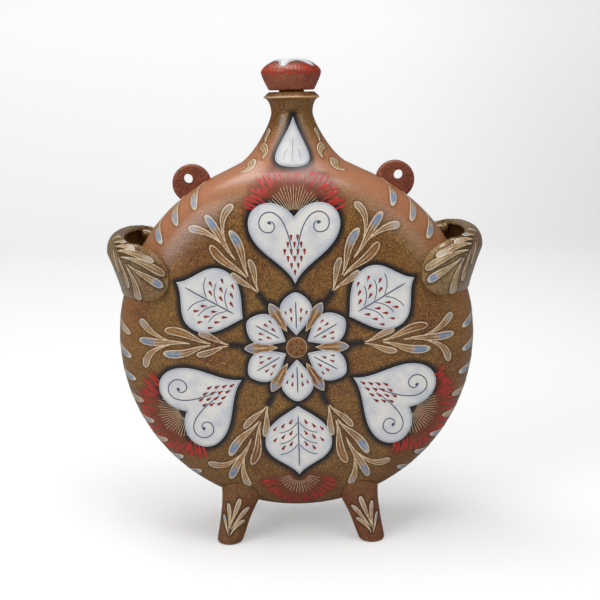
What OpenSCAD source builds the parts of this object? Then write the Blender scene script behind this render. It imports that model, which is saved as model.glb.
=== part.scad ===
// Pilgrim flask: a flat round stoneware bottle on four feet, with a neck, a stopper,
// two side handles and two pierced lugs for a cord.
// X runs across the flask, Y from front (-Y) to back, Z up from the ground.

/* [Body] */
// Radius of the round body, centre to the crown of the belt
body_r = 126; // [115:1:135]
// Thickness of the body, front to back
body_t = 88; // [80:1:94]
// Gap between the ground and the underside of the body
body_clear = 21; // [18:1:26]
// Thickness of the clay wall of shells and belt
wall = 5; // [4:0.5:6.5]
// How flat the faces are: 2 is a ball, 6 is a wheel
face_power = 6; // [5:0.5:7]
// How square the belt is: 2 is round
belt_power = 2.6; // [2.3:0.1:3]
// Angle of the seam between shell and belt, 0 at the middle of a face and 90 at the crown
seam_angle = 60; // [56:1:64]
// Angle that the scarf joint at each seam leans over
scarf_angle = 5; // [2:1:8]

/* [Neck] */
// Radius of the neck at its narrowest
neck_r = 14.3; // [13.5:0.1:16]
// Height of the narrowest ring above the body's crown
neck_h = 30; // [27:1:34]
// Half the width of the skirt where it meets the shoulders
skirt_w = 50; // [44:1:54]
// Half the depth of the skirt, front to back
skirt_d = 28; // [25:1:31]
// Thickness of the skirt's edge on the shoulders
skirt_edge = 0.7; // [0.5:0.1:1.2]
// Radius of the sharp edge of the lip
lip_r = 19.3; // [18.5:0.1:21]
// Height of the lip's underside curve above the narrowest ring
lip_rise = 10; // [8:0.5:12]
// Height of the bevelled top of the lip
lip_bevel = 4; // [3:0.5:5]
// Radius of the flat top of the lip
lip_top_r = 15.4; // [14.5:0.1:16.5]
// Radius of the mouth hole cut in the belt
mouth_r = 17; // [14:0.5:19]

/* [Stopper] */
// Radius of the cork where it enters the neck
cork_r = 8.6; // [7.5:0.1:9.5]
// Length of cork inside the neck
cork_in = 20; // [16:1:24]
// Length of cork glued into the knob
cork_socket = 6; // [4:0.5:8]
// Radius lost by the cork for each millimetre of length
cork_taper = 0.045; // [0.03:0.005:0.06]
// Running clearance between cork and neck
cork_gap = 0.08; // [0.05:0.01:0.1]
// Gap that shows between knob and lip
knob_gap = 1.2; // [0.8:0.1:2]
// Largest radius of the knob
knob_r = 20.7; // [19:0.1:23]
// Radius of the knob's underside
knob_foot_r = 15.9; // [14:0.1:17]
// Height of the knob
knob_h = 21; // [19:0.5:24]
// Radius of the knob's nearly flat top
knob_top_r = 9.5; // [7:0.5:11]

/* [Lugs] */
// Distance of the lug's centre from the body's axis, sideways
lug_x = 71; // [66:0.5:74]
// How far the lug's centre stands beyond the body's surface
lug_stand = 3.8; // [2.5:0.1:4.5]
// Radius of the lug
lug_r = 13.5; // [13:0.5:15]
// Thickness of the lug
lug_t = 6.5; // [5:0.5:8]
// Radius of the hole for the cord
lug_hole_r = 3.3; // [2.5:0.1:4]
// Distance of the hole from the lug's centre, outwards from the body
lug_hole_out = 4.2; // [3:0.1:4.5]
// Thickness of the clay pressed round the lug's root
lug_root_t = 12; // [10:0.5:14]
// Height of the clay pressed round the lug's root
lug_root_h = 3; // [2.5:0.5:5]

/* [Handles] */
// Distance of the handle's middle from the body's axis, sideways
handle_x = 102; // [100:0.5:104]
// Height of the handle's middle above the body's centre
handle_up = 50; // [48:0.5:52]
// Radius of the round lobe that lies on each face
lobe_r = 17.2; // [16.5:0.1:18.5]
// Height of the handle's rim above the body's centre, at the front and back
rim_up = 73; // [71:0.5:76]
// How much higher the rim is at its outermost point
rim_arch = 5; // [3:0.5:7]
// Distance from the body's axis to the widest part of the handle
handle_reach = 132; // [130:0.1:135]
// Half the depth of the handle, front to back, where it is deepest
handle_d = 50; // [48:0.5:52]
// Half the depth of the handle at its foot
handle_foot_d = 40.5; // [39.5:0.5:42]
// Thickness of the clay slab that the handle is made of
slab = 4.2; // [3.5:0.1:5]
// Thickness of the handle's edge where it is pressed on the body
pressed_edge = 1.5; // [1.2:0.1:2.5]
// Height over which the rim rolls inwards
roll_h = 9; // [7:0.5:11]
// How far the rim rolls in, sideways
roll_in = 11; // [9:0.5:13]
// How far the rim rolls in, front to back
roll_in_d = 3; // [2:0.5:4]
// Distance from the body's axis to the outer edge of the handle's opening
opening_x = 118; // [115:0.5:119]

/* [Feet] */
// Distance of each foot's sole from the middle, sideways
foot_x = 51.3; // [48:0.1:54]
// Distance of each foot's sole from the middle, front to back
foot_y = 28; // [26:0.5:29]
// Distance of each foot's root from the middle, sideways
root_x = 42.5; // [40:0.5:46]
// Distance of each foot's root from the middle, front to back
root_y = 25; // [23:0.5:26]
// Radius of the foot just above its sole
foot_r = 9.4; // [8.5:0.1:11]
// Radius of the foot where it starts to spread into the body
foot_top_r = 12; // [11:0.1:13]
// Radius of the soft edge round the sole
sole_edge = 1.6; // [1:0.1:2.2]

/* [Hidden] */
smooth = 120;
clay = [0.46, 0.27, 0.13];
dark_clay = [0.36, 0.19, 0.10];
olive_clay = [0.50, 0.38, 0.20];
cork_tan = [0.72, 0.54, 0.36];
half_t = body_t / 2;
centre_h = body_r + body_clear;
crown_z = centre_h + body_r;
narrow_z = crown_z + neck_h;
lip_edge_z = narrow_z + lip_rise;
lip_top_z = lip_edge_z + lip_bevel;
knob_z = lip_top_z + knob_gap;
knob_top_z = knob_z + knob_h;
cork_end_z = lip_top_z - cork_in;
rim_z = centre_h + rim_up;
roll_z = rim_z - roll_h;
lobe_z = centre_h + handle_up;
handle_foot_z = lobe_z - lobe_r;
angle_step = 3;
free_x = handle_x + 1;
foot_shift = 10;
mouth_in = 8;
beyond = 20;

// Evenly spaced values from a to b in n steps
function span(a, b, n) = [for (i = [0:n]) a + (b - a) * i / n];

// A point on the body's section, as [radius, distance from the middle plane].
// t is 0 at the middle of a face and 90 at the crown of the belt, and inset moves
// the point into the wall, square to the surface.
function section(t, inset = 0) =
    let (r = body_r * pow(sin(t), 2 / face_power),
        h = half_t * pow(cos(t), 2 / belt_power),
        slope_r = face_power / body_r * pow(r / body_r, face_power - 1),
        slope_h = belt_power / half_t * pow(h / half_t, belt_power - 1),
        n = norm([slope_r, slope_h]))
    [r - inset * slope_r / n, h - inset * slope_h / n];

// A stretch of the section from angle a to angle b, on the front or the back side
function stretch(a, b, inset = 0, side = 1) =
    [for (t = span(a, b, ceil(abs(b - a) / angle_step)))
        let (p = section(t, inset)) [p[0], side * p[1]]];

// Distance of the outer surface from the body's axis, at a distance y from the middle plane
function body_radius_at(y) =
    body_r * pow(1 - pow(abs(y) / half_t, belt_power), 1 / face_power);

// Distance of the outer surface from the middle plane, at a place on the front view
function body_y_at(x, z) =
    half_t * pow(max(0, 1 - pow(norm([x, z - centre_h]) / body_r, face_power)), 1 / belt_power);

// A shape turned about the body's own axis, which runs from front to back
module turned(points) {
    translate([0, 0, centre_h]) rotate([90, 0, 0])
        rotate_extrude($fn = smooth) polygon(points);
}

// The whole body as one filled form; a negative inset makes it larger
module body_form(inset = 0) {
    turned(concat(stretch(0, 90, inset), stretch(90 - angle_step, 0, inset, -1)));
}

// One dished shell: the face and the rounded shoulder as far as the seam
module shell(side) {
    color(clay) turned(concat(
        stretch(0, seam_angle, 0, side),
        stretch(seam_angle + scarf_angle, 0, wall, side)));
}

module front_shell() shell(1);
module back_shell() shell(-1);

// One half of the strap of clay between the shells, with half the mouth hole at its top
module half_belt() {
    color(clay) difference() {
        turned(concat(
            stretch(seam_angle, 90), stretch(90 - angle_step, seam_angle, 0, -1),
            stretch(seam_angle + scarf_angle, 90, wall, -1),
            stretch(90 - angle_step, seam_angle + scarf_angle, wall)));
        translate([0, 0, centre_h]) cylinder(r = mouth_r, h = body_r + beyond, $fn = smooth);
        translate([-2 * body_r, -body_t, 0]) cube([2 * body_r, 2 * body_t, 2 * crown_z]);
    }
}

module right_belt() half_belt();
module left_belt() mirror([1, 0, 0]) half_belt();

// A ring of points round a level egg shape, w wide on the outer side and w_in on the
// inner; lift raises its outermost point
function ring(x, y, z, w, d, w_in, sides, lift = 0) =
    [for (i = [0:sides - 1]) let (a = 360 * i / sides)
        [x + cos(a) * (cos(a) > 0 ? w : w_in), y + d * sin(a), z + lift * max(0, cos(a))]];

// A closed solid through a stack of rings
module loft(rings) {
    sides = len(rings[0]);
    top = (len(rings) - 1) * sides;
    walls = [for (k = [0:len(rings) - 2], i = [0:sides - 1])
        let (j = (i + 1) % sides, a = k * sides, b = a + sides)
        each [[a + i, b + i, a + j], [a + j, b + i, b + j]]];
    ends = [for (i = [1:sides - 2]) each [[0, i, i + 1], [top, top + i + 1, top + i]]];
    polyhedron([for (r = rings) each r], concat(walls, ends));
}

// Height of the body's upper surface at a place seen from above
function body_top_at(x, y) = centre_h + sqrt(pow(body_radius_at(y), 2) - pow(x, 2));

// Skirt of the neck: round at the top, a wide oval pressed on the shoulders at the foot
module neck_skirt() {
    sides = 40;
    hollow = 1.4;
    flick = 8;
    flick_share = 0.3;
    top_r = neck_r - 0.2;
    root_depth = 4;
    // s is 0 at the narrowest ring and 1 on the shoulders, and lift raises the whole ring
    function skirt_ring(s, lift = 0) =
        let (w = top_r + (skirt_w - top_r)
                * ((1 - flick_share) * pow(s, hollow) + flick_share * pow(s, flick)),
            d = top_r + (skirt_d - top_r) * pow(s, hollow))
        [for (i = [0:sides - 1]) let (a = 360 * i / sides,
            foot_z = body_top_at(skirt_w * cos(a), skirt_d * sin(a)) + skirt_edge)
            [w * cos(a), d * sin(a), narrow_z + s * (foot_z - narrow_z) + lift]];
    loft([skirt_ring(1, -root_depth),
        for (s = [1, 0.96, 0.9, 0.82, 0.7, 0.58, 0.45, 0.3, 0.15, 0]) skirt_ring(s),
        skirt_ring(0, lip_rise / 5)]);
}

// Thrown top of the neck: from the narrowest ring up a hollow curve to the sharp lip
module neck_top() {
    edge = 0.5;
    rotate_extrude($fn = smooth) polygon(concat(
        [[0, narrow_z - edge], [neck_r, narrow_z - edge]],
        [for (a = span(0, 90, 9))
            [neck_r + (lip_r - neck_r) * (1 - cos(a)), narrow_z + lip_rise * sin(a)]],
        [[lip_r, lip_edge_z + edge], [lip_top_r, lip_top_z], [0, lip_top_z]]));
}

// Passage through the neck: a tapered seat for the cork, then a funnel into the body
module neck_passage() {
    seat_r = cork_r + cork_gap;
    seat_end_z = cork_end_z - 1;
    funnel_r = seat_r - cork_taper * (lip_top_z - seat_end_z);
    collar_z = crown_z - wall / 2;
    rotate_extrude($fn = smooth) polygon([
        [0, lip_top_z + beyond], [seat_r + cork_taper * beyond, lip_top_z + beyond],
        [seat_r, lip_top_z], [funnel_r, seat_end_z],
        [mouth_r, collar_z], [mouth_r, crown_z - beyond], [0, crown_z - beyond]]);
}

module neck() {
    color(clay) difference() {
        union() {
            neck_skirt();
            neck_top();
        }
        neck_passage();
        body_form();
    }
}

// Inward half-width that lets a ring round x meet the body on the round lobe's outline
function lobe_width(x, z, d) =
    let (edge_x = handle_x - sqrt(max(0, pow(lobe_r, 2) - pow(max(0, z - lobe_z), 2))),
        most = 0.9, y = min(most * d, body_y_at(edge_x, z) + pressed_edge))
    (x - edge_x) / sqrt(1 - pow(y / d, 2));

// One ring of the handle's outside, or of its hollow where thin is the slab's thickness
function handle_ring(x, z, reach, d, thin, sides, lift = 0) =
    let (shift = 0.8 * thin, mid_x = x + shift)
    ring(mid_x, 0, z, reach - thin - mid_x, d - thin,
        max(thin > 0 ? mouth_in : 0, lobe_width(x, z, d) + shift - thin), sides, lift);

// The handle's form: it leans out from the body, then its rim rolls in again
function handle_rings(thin, start, sides) =
    let (foot_reach = sqrt(pow(body_r, 2) - pow(handle_up - lobe_r, 2)) + pressed_edge,
        lean = 1.4)
    concat(
        [for (s = span(start, 1, 6))
            handle_ring(free_x - foot_shift * (1 - s), handle_foot_z + (roll_z - handle_foot_z) * s,
                foot_reach + (handle_reach - foot_reach) * pow(s, lean),
                handle_foot_d + (handle_d - handle_foot_d) * sqrt(1 - pow(1 - s, 2)),
                thin, sides)],
        [for (a = [25, 50, 80])
            handle_ring(free_x, roll_z + (roll_h - thin) * sin(a),
                handle_reach - (roll_in - thin) * (1 - cos(a)),
                handle_d - roll_in_d * (1 - cos(a)), thin, sides, rim_arch * sin(a))]);

// Front view of the handle below its middle: a round lobe, and a straight edge beyond it
module lobe_outline() {
    translate([handle_x, 0, lobe_z]) rotate([90, 0, 0])
        cylinder(r = lobe_r + 1, h = 2 * body_t, center = true, $fn = smooth);
    translate([handle_x, -body_t, handle_foot_z]) cube([2 * lobe_r, 2 * body_t, 2 * body_t]);
    translate([0, -body_t, lobe_z + lobe_r / 2]) cube([body_r, 2 * body_t, body_t]);
}

// The handle's opening, cut down through the rolled rim
function opening_ring(z) =
    ring(handle_x + slab, 0, z, opening_x - handle_x - slab,
        handle_d - roll_in_d - slab / 2, mouth_in, 32);

// One side handle: a hollow ear, open at the top and pressed on the body below
module handle() {
    outer_sides = 48;
    inner_sides = 32;
    hollow_start = 0.15;
    color(olive_clay) difference() {
        intersection() {
            loft(handle_rings(0, 0, outer_sides));
            lobe_outline();
        }
        loft(handle_rings(slab, hollow_start, inner_sides));
        loft([opening_ring(roll_z), opening_ring(rim_z + beyond)]);
        body_form();
    }
}

module right_handle() handle();
module left_handle() mirror([1, 0, 0]) handle();

// A thick disc with soft edges, lying across the front-to-back direction
module soft_disc(r, t, edge) {
    rotate([90, 0, 0]) rotate_extrude($fn = smooth) polygon(concat(
        [[0, -t / 2]],
        [for (a = span(-90, 0, 5)) [r - edge + edge * cos(a), -t / 2 + edge + edge * sin(a)]],
        [for (a = span(0, 90, 5)) [r - edge + edge * cos(a), t / 2 - edge + edge * sin(a)]],
        [[0, t / 2]]));
}

// One pierced lug, with a ledge of clay pressed round its root
module cord_lug() {
    edge = 1.8;
    root_edge = 3;
    reach = body_r + lug_stand;
    lean = asin(lug_x / reach);
    color(dark_clay) difference() {
        translate([lug_x, 0, centre_h + reach * cos(lean)]) union() {
            soft_disc(lug_r, lug_t, edge);
            intersection() {
                soft_disc(lug_r - edge / 4, lug_root_t, root_edge);
                translate([-lug_x, 0, -centre_h - reach * cos(lean)]) body_form(-lug_root_h);
            }
        }
        translate([(reach + lug_hole_out) * sin(lean), 0,
            centre_h + (reach + lug_hole_out) * cos(lean)]) rotate([90, 0, 0])
            cylinder(r = lug_hole_r, h = lug_root_t + beyond, center = true, $fn = smooth);
        body_form();
    }
}

module right_cord_lug() cord_lug();
module left_cord_lug() mirror([1, 0, 0]) cord_lug();

// One foot: a leaning peg with a soft-edged sole that spreads where it meets the body
module foot() {
    root_z = centre_h - sqrt(pow(body_radius_at(root_y), 2) - pow(root_x, 2));
    flare = 8;
    flare_from = 0.45;
    // s is the height, as a share of the height of the root
    function foot_ring(s, r, spread) = ring(
        foot_x - (foot_x - root_x) * s - spread / 3, foot_y - (foot_y - root_y) * s,
        root_z * s, r + spread, r, r + spread, 32);
    color(clay) difference() {
        loft(concat(
            [for (a = span(0, 90, 3))
                foot_ring(sole_edge * (1 - cos(a)) / root_z, foot_r - sole_edge * (1 - sin(a)), 0)],
            [for (s = [0.2, 0.45, 0.6, 0.75, 0.9, 1.05, 1.25, 1.6])
                foot_ring(s, foot_r + (foot_top_r - foot_r) * s,
                    flare * pow(max(0, s - flare_from), 2))]));
        body_form();
    }
}

module back_right_foot() foot();
module back_left_foot() mirror([1, 0, 0]) foot();
module front_right_foot() mirror([0, 1, 0]) foot();
module front_left_foot() mirror([0, 1, 0]) mirror([1, 0, 0]) foot();

// Thrown knob: a low cone up to a soft girdle, then a shallower cone to a domed top
module stopper_knob() {
    girdle_z = knob_z + 0.46 * knob_h;
    foot_edge = 0.8;
    edge = 3;
    top_edge = 2;
    color(dark_clay) difference() {
        rotate_extrude($fn = smooth) polygon(concat(
            [[0, knob_z], [knob_foot_r - foot_edge, knob_z], [knob_foot_r, knob_z + foot_edge]],
            [for (a = span(-32, 58, 8))
                [knob_r - edge + edge * cos(a), girdle_z + edge * sin(a)]],
            [for (a = span(0, 90, 6))
                [knob_top_r * cos(a), knob_top_z - top_edge + top_edge * sin(a)]]));
        translate([0, 0, knob_z - 1])
            cylinder(r = cork_r, h = cork_socket + 1, $fn = smooth);
    }
}

// Cork: glued into the knob above, tapered to wedge in the neck below
module stopper_cork() {
    bevel = 0.6;
    color(cork_tan) rotate_extrude($fn = smooth) polygon([
        [0, cork_end_z], [cork_r - cork_taper * cork_in - bevel, cork_end_z],
        [cork_r - cork_taper * (cork_in - bevel), cork_end_z + bevel],
        [cork_r, lip_top_z], [cork_r, knob_z + cork_socket], [0, knob_z + cork_socket]]);
}

front_shell();
left_belt();
right_belt();
back_shell();
neck();
left_handle();
right_handle();
left_cord_lug();
right_cord_lug();
front_left_foot();
front_right_foot();
back_left_foot();
back_right_foot();
stopper_knob();
stopper_cork();
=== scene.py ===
"""A stoneware pilgrim flask with painted slip decoration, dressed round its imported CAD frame."""

import random
from math import asin, cos, exp, hypot, pi, radians, sin, sqrt

import bmesh
import bpy
from mathutils import Matrix, Vector, noise
from mathutils.bvhtree import BVHTree
from mathutils.kdtree import KDTree


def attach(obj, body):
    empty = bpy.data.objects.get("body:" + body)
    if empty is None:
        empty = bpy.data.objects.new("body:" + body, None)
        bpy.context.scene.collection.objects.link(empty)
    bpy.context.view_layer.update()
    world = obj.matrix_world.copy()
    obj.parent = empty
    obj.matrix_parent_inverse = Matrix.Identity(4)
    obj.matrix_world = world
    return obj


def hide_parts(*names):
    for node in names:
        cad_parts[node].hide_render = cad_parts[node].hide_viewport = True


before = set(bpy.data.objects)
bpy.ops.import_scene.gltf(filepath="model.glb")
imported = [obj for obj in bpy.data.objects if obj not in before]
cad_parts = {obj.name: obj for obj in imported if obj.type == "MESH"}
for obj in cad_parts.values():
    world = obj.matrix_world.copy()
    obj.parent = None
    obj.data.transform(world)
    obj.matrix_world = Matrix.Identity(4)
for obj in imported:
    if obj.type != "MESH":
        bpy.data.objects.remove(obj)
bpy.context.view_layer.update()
scene = bpy.context.scene
MM = 0.001

# The camera stands in front of the flask, a little above its middle, and looks down at it.
# It leans slightly to one side, as the hand-held shot does.
camera_place = Vector((0.0029, -0.692, 0.3127))
camera_pitch = 11.59
camera_roll = -1.2
lens = bpy.data.cameras.new("camera")
lens.lens = 59.1
lens.sensor_width = 36.0
camera = bpy.data.objects.new("camera", lens)
camera.matrix_world = (Matrix.Translation(camera_place)
    @ Matrix.Rotation(radians(90 - camera_pitch), 4, "X")
    @ Matrix.Rotation(radians(camera_roll), 4, "Z"))
scene.collection.objects.link(camera)
scene.camera = camera
scene.view_settings.view_transform = "Standard"


# The studio: one sheet of white paper on the table that curves up behind the flask,
# under two large soft boxes, one on each side, and a softer one overhead.
def linear(red, green, blue):
    """A colour as it is picked on a screen, from 0 to 255, made linear."""
    return [((c / 255 + 0.055) / 1.055) ** 2.4 for c in (red, green, blue)] + [1.0]


def node(tree, kind, inputs=None, **settings):
    """A shader node with its settings, and values or links for its inputs."""
    made = tree.nodes.new(kind if kind.startswith("NodeGroup") else "ShaderNode" + kind)
    for name, value in settings.items():
        setattr(made, name, value)
    for key, value in (inputs or {}).items():
        if isinstance(value, bpy.types.NodeSocket):
            tree.links.new(value, made.inputs[key])
        else:
            made.inputs[key].default_value = value
    return made


def mix(tree, share, one, other, blend="MIX"):
    """Colour one turned into the other by a share."""
    return node(tree, "Mix", {0: share, 6: one, 7: other},
        data_type="RGBA", blend_type=blend).outputs[2]


def maths(tree, operation, *values):
    return node(tree, "Math", dict(enumerate(values)), operation=operation).outputs[0]


def remap(tree, value, low, high, start=0.0, end=1.0, kind="SMOOTHSTEP"):
    return node(tree, "MapRange", {0: value, 1: low, 2: high, 3: start, 4: end},
        interpolation_type=kind).outputs[0]


def mask_near(tree, value, middle, reach):
    """One where a value is at the middle, nought beyond its reach."""
    off = maths(tree, "ABSOLUTE", maths(tree, "SUBTRACT", value, middle))
    return remap(tree, off, reach, reach * 0.55)


def new_material(name):
    material = bpy.data.materials.new(name)
    material.use_nodes = True
    material.node_tree.nodes.clear()
    return material, material.node_tree


def add_object(name, mesh, material):
    mesh.materials.append(material)
    made = bpy.data.objects.new(name, mesh)
    scene.collection.objects.link(made)
    return made


paper, tree = new_material("white_paper")
paper_white, paper_shown, paper_in_glaze = 0.74, 0.64, 0.25
glow_near, glow_far, glow_up, glow_lost = 0.30, 0.47, 0.11, 0.12
paper_coords = node(tree, "TexCoord").outputs["Object"]
paper_x, paper_y, paper_up = node(tree, "SeparateXYZ", {0: paper_coords}).outputs
path = node(tree, "LightPath").outputs
# Painted light: the paper glows for the camera only, more further back and higher up and less towards
# the right, so it reads white while the flask's shadow stays on it. In the glaze's reflections the paper
# shows darker than it is.
glow = maths(tree, "ADD", remap(tree, paper_y, -0.3, 1.2, glow_near, glow_far, "LINEAR"),
    remap(tree, paper_up, 0.0, 0.5, 0.0, glow_up, "LINEAR"))
glow = maths(tree, "SUBTRACT", glow, remap(tree, paper_x, 0.15, 0.9, 0.0, glow_lost))
glow = node(tree, "Emission", {"Color": (1, 1, 1, 1),
    "Strength": maths(tree, "MULTIPLY", path["Is Camera Ray"], glow)})
white = mix(tree, path["Is Glossy Ray"], [paper_white] * 3 + [1], [paper_in_glaze] * 3 + [1])
white = mix(tree, path["Is Camera Ray"], white, [paper_shown] * 3 + [1])
matt = node(tree, "BsdfDiffuse", {"Color": white})
both = node(tree, "AddShader", {0: matt.outputs[0], 1: glow.outputs[0]})
node(tree, "OutputMaterial", {0: both.outputs[0]})

paper_mesh = bpy.data.meshes.new("paper_sweep")
bm = bmesh.new()
sweep = [Vector((0, -3.0, 0)), Vector((0, 1.4, 0))]
sweep += [Vector((0, 1.4 + 0.8 * sin(radians(a)), 0.8 - 0.8 * cos(radians(a))))
    for a in range(6, 91, 6)]
sweep.append(Vector((0, 2.2, 3.5)))
verts = [bm.verts.new(p + Vector((-4, 0, 0))) for p in sweep]
edges = [bm.edges.new(pair) for pair in zip(verts, verts[1:])]
wide = bmesh.ops.extrude_edge_only(bm, edges=edges)["geom"]
bmesh.ops.translate(bm, vec=(8, 0, 0), verts=[g for g in wide if isinstance(g, bmesh.types.BMVert)])
bmesh.ops.recalc_face_normals(bm, faces=bm.faces)
for face in bm.faces:
    face.smooth = True
bm.to_mesh(paper_mesh)
bm.free()
add_object("paper_sweep", paper_mesh, paper)

world = bpy.data.worlds.new("studio_air")
scene.world = world
world.use_nodes = True
world.node_tree.nodes["Background"].inputs[0].default_value = (1, 1, 1, 1)
air = world.node_tree.nodes["Background"].inputs["Strength"]
air_path = node(world.node_tree, "LightPath").outputs
air_share = remap(world.node_tree, air_path["Is Glossy Ray"], 0.0, 1.0, 0.34, 0.05, "LINEAR")
air_share = maths(world.node_tree, "ADD", air_share,
    maths(world.node_tree, "MULTIPLY", air_path["Is Camera Ray"], 0.6))
world.node_tree.links.new(air_share, air)


def soft_box(name, place, aim, size, power):
    light = bpy.data.lights.new(name, "AREA")
    light.shape = "RECTANGLE"
    light.size, light.size_y = size
    light.energy = power
    made = bpy.data.objects.new(name, light)
    made.location = place
    made.rotation_euler = (Vector(aim) - Vector(place)).to_track_quat("-Z", "Y").to_euler()
    scene.collection.objects.link(made)


soft_box("left_soft_box", (-1.25, -1.15, 1.15), (0, 0, 0.18), (1.0, 1.2), 14.5)
soft_box("right_soft_box", (1.25, -1.15, 1.15), (0, 0, 0.18), (1.0, 1.2), 5.7)
soft_box("overhead_soft_box", (-0.1, -0.1, 1.5), (0, 0, 0.2), (1.5, 0.6), 14.5)

# Two dished shells of thrown stoneware, joined edge to edge by a strap of clay, the belt.
# The joints are scraped smooth before glazing, so the glaze runs over them unbroken.
body_r = 126.0
half_t = 44.0
centre_z = 147.0
face_power = 6.0
belt_power = 2.6
wall = 5.0
seam_angle = 60.0
scarf_angle = 5.0


def section(angle, inset=0.0):
    """A point of the body's section, as radius and distance from the middle plane."""
    r = body_r * sin(radians(angle)) ** (2 / face_power)
    h = half_t * max(0.0, cos(radians(angle))) ** (2 / belt_power)
    slope = Vector((face_power / body_r * (r / body_r) ** (face_power - 1),
        belt_power / half_t * (h / half_t) ** (belt_power - 1))).normalized()
    return Vector((r, h)) - slope * inset


def even_section(start, end, gap, inset=0.0):
    """Points gap apart along the section, from one angle to another."""
    fine = [section(start + (end - start) * i / 2000, inset) for i in range(2001)]
    kept, run = [fine[0]], 0.0
    for before, here in zip(fine, fine[1:]):
        run += (here - before).length
        if run >= gap:
            kept.append(here)
            run = 0.0
    if (kept[-1] - fine[-1]).length > 0.3 * gap:
        kept.append(fine[-1])
    else:
        kept[-1] = fine[-1]
    return kept


def face_point(x, z, lift=0.0, side=-1):
    """A place on the front view laid on the front or the back face, in metres."""
    up = z - centre_z
    r = min(hypot(x, up), body_r - 0.01)
    h = half_t * (1 - (r / body_r) ** face_power) ** (1 / belt_power)
    slope = face_power / body_r * (r / body_r) ** (face_power - 1)
    out = Vector((slope * x / max(r, 0.001), side * belt_power / half_t * (h / half_t)
        ** (belt_power - 1), slope * up / max(r, 0.001))).normalized()
    return (Vector((x, side * h, z)) + out * lift) * MM


def belt_point(angle, y, lift=0.0):
    """A place on the belt, at an angle from the neck and a distance y from the middle."""
    r = body_r * (1 - (abs(y) / half_t) ** belt_power) ** (1 / face_power)
    slope = face_power / body_r * (r / body_r) ** (face_power - 1)
    lean = belt_power / half_t * (abs(y) / half_t) ** (belt_power - 1) * (1 if y > 0 else -1)
    around = radians(angle)
    out = Vector((slope * sin(around), lean, slope * cos(around))).normalized()
    return (Vector((r * sin(around), y, centre_z + r * cos(around))) + out * lift) * MM


def smooth_mesh(bm, name):
    mesh = bpy.data.meshes.new(name)
    for face in bm.faces:
        face.smooth = True
    bm.to_mesh(mesh)
    bm.free()
    return mesh


def turned_wall(profile, steps):
    """A wall turned about the flask's front-to-back axis, closed where its profile is."""
    bm = bmesh.new()
    last = len(profile) - 1
    for v in bmesh.ops.create_grid(bm, x_segments=last, y_segments=steps, size=0.5)["verts"]:
        r, y = profile[round((v.co.x + 0.5) * last)]
        turn = 2 * pi * round((v.co.y + 0.5) * steps) / steps
        v.co = Vector((r * sin(turn), y, centre_z + r * cos(turn))) * MM
    bmesh.ops.remove_doubles(bm, verts=bm.verts, dist=1e-6)
    bmesh.ops.recalc_face_normals(bm, faces=bm.faces)
    return bm


speckle = bpy.data.node_groups.new("speckled_glaze", "ShaderNodeTree")
for name, kind in (("Colour", "Color"), ("Light Fleck", "Color"), ("Dark Fleck", "Color"),
        ("Warm Patch", "Color"), ("Fleck Size", "Float"), ("Fleck Strength", "Float")):
    speckle.interface.new_socket(name, in_out="INPUT", socket_type="NodeSocket" + kind)
for name, kind in (("Colour", "Color"), ("Roughness", "Float"), ("Height", "Float")):
    speckle.interface.new_socket(name, in_out="OUTPUT", socket_type="NodeSocket" + kind)
given = node(speckle, "NodeGroupInput").outputs
place = node(speckle, "TexCoord").outputs["Object"]
fleck_scale = maths(speckle, "DIVIDE", 1000.0, given["Fleck Size"])
patches = node(speckle, "TexNoise", {"Vector": place, "Scale": 26.0, "Detail": 3.0}).outputs[0]
mottle = node(speckle, "TexNoise", {"Vector": place, "Scale": 210.0, "Detail": 4.0,
    "Roughness": 0.65}).outputs[0]
flecks = node(speckle, "TexNoise", {"Vector": place, "Scale": fleck_scale, "Detail": 2.0,
    "Roughness": 0.6}).outputs[0]
specks = node(speckle, "TexVoronoi", {"Vector": place,
    "Scale": maths(speckle, "MULTIPLY", fleck_scale, 0.45)}, feature="F1").outputs["Distance"]
colour = mix(speckle, remap(speckle, patches, 0.38, 0.68), given["Colour"], given["Warm Patch"])
light_share = maths(speckle, "MULTIPLY", remap(speckle, flecks, 0.52, 0.70),
    given["Fleck Strength"])
colour = mix(speckle, light_share, colour, given["Light Fleck"])
dark_share = maths(speckle, "MULTIPLY", remap(speckle, flecks, 0.47, 0.33),
    given["Fleck Strength"])
colour = mix(speckle, dark_share, colour, given["Dark Fleck"])
colour = mix(speckle, remap(speckle, specks, 0.24, 0.10, 0.0, 0.55), colour, given["Dark Fleck"])
shade = remap(speckle, mottle, 0.3, 0.7, 0.80, 1.18, "LINEAR")
colour = mix(speckle, 1.0, colour,
    node(speckle, "CombineColor", {0: shade, 1: shade, 2: shade}).outputs[0], "MULTIPLY")
rough = remap(speckle, mottle, 0.3, 0.7, 0.34, 0.52, "LINEAR")
height = maths(speckle, "ADD", maths(speckle, "MULTIPLY", mottle, 0.7),
    maths(speckle, "MULTIPLY", flecks, 0.3))
node(speckle, "NodeGroupOutput", {"Colour": colour, "Roughness": rough, "Height": height})


def speckled(tree, colour, light, dark, warm, size=1.0, strength=0.6):
    """Colour, roughness and height of a speckled glaze in a material's own colours."""
    made = node(tree, "Group", node_tree=speckle)
    for name, value in (("Colour", colour), ("Light Fleck", light), ("Dark Fleck", dark),
            ("Warm Patch", warm), ("Fleck Size", size), ("Fleck Strength", strength)):
        made.inputs[name].default_value = value
    return made.outputs


def satin(tree, colour, roughness, height, relief=0.00012, coat=0.12):
    """The finish of a salt glaze: satin clay under a thin clear skin."""
    bump = node(tree, "Bump", {"Height": height, "Distance": relief, "Strength": 1.0})
    skin = node(tree, "BsdfPrincipled", {"Base Color": colour, "Roughness": roughness,
        "Normal": bump.outputs[0], "Coat Weight": coat, "Coat Roughness": 0.24,
        "Specular IOR Level": 0.45})
    node(tree, "OutputMaterial", {0: skin.outputs[0]})


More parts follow.
